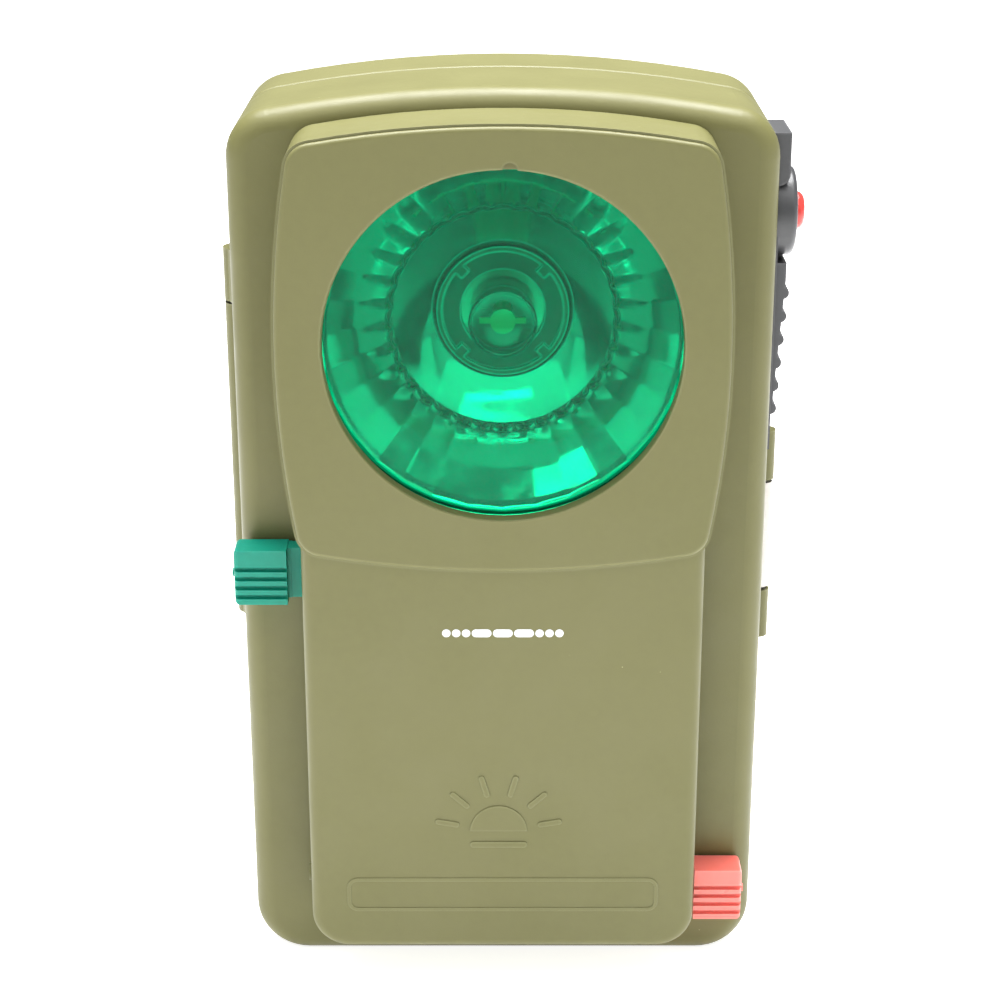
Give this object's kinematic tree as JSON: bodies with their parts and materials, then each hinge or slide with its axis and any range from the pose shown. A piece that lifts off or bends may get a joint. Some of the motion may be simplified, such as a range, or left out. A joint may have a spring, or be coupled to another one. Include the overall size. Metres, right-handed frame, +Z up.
{
  "type": "signal torch",
  "caption": "Flat pocket signal torch with a round reflector lamp, two sliding colour filters, a thumb switch with signal button, a hinged battery cover and a belt clip.",
  "frame": {"origin": "middle of the flat base that the torch stands on", "axes": "+Z up along the case, -Y out of the lamp window, +X to the side with the switch"},
  "size_m": [0.0836, 0.051, 0.134],
  "materials": {
    "olive_plastic": "fine matte moulded skin",
    "black_plastic": "satin",
    "signal_red": "glossy",
    "teal_plastic": "satin",
    "coral_plastic": "satin",
    "green_window": "clear tinted plastic",
    "red_window": "clear tinted plastic",
    "clear_plastic": "clear",
    "bulb_glass": "clear",
    "mirror_coat": "vacuum metallised",
    "grey_plastic": "matte",
    "emitter": "phosphor and leads",
    "nickel": "nickel plated",
    "steel": "zinc plated",
    "brass": "bright",
    "battery_jacket": "plain printed jacket",
    "spring_steel": "black"
  },
  "bodies": {
    "casing": {"front_casing": "olive_plastic", "front_cover": "olive_plastic", "cover_screws": "steel", "clear_lens": "clear_plastic", "reflector": "mirror_coat", "lamp_holder": "grey_plastic", "bulb_cap": "nickel", "bulb_glass": "bulb_glass", "bulb_emitter": "emitter", "lamp_contact": "brass", "shell_contact": "brass", "supply_contact": "brass", "contact_rivets": "brass", "battery": "battery_jacket", "battery_terminals": "brass", "hinge_pin": "nickel", "latch_pin": "nickel", "switch_housing": "black_plastic", "switch_base": "black_plastic", "switch_screws": "steel", "signal_spring": "brass"},
    "rear_cover": {"rear_cover": "olive_plastic", "belt_clip": "spring_steel", "clip_rivets": "spring_steel"},
    "latch": {"latch": "nickel"},
    "green_slider": {"green_filter": "green_window", "green_slider": "teal_plastic"},
    "red_slider": {"red_filter": "red_window", "red_slider": "coral_plastic"},
    "thumb_slider": {"thumb_slider": "black_plastic", "slider_contact": "brass"},
    "signal_button": {"signal_button": "signal_red"}
  },
  "joints": [
    {"name": "green_slide", "type": "slide", "parent": "casing", "child": "green_slider", "axis": [0, 0, -1], "range_m": [0, 0.0518]},
    {"name": "red_slide", "type": "slide", "parent": "casing", "child": "red_slider", "axis": [0, 0, 1], "range_m": [0, 0.0518]},
    {"name": "cover_hinge", "type": "hinge", "parent": "casing", "child": "rear_cover", "pos_m": [-0.03875, 0.0024, 0.079], "axis": [0, 0, 1], "range_deg": [0, 110]},
    {"name": "latch_pivot", "type": "hinge", "parent": "casing", "child": "latch", "pos_m": [0.03925, -0.0012, 0.06415], "axis": [0, 0, -1], "range_deg": [0, 70]},
    {"name": "switch_slide", "type": "slide", "parent": "casing", "child": "thumb_slider", "axis": [0, 0, -1], "range_m": [0, 0.004]},
    {"name": "button_press", "type": "slide", "parent": "casing", "child": "signal_button", "axis": [-1, 0, 0], "range_m": [0, 0.0008], "stiffness_N_per_m": 400, "springref_m": -0.0005, "deforming": ["signal_spring"]}
  ]
}
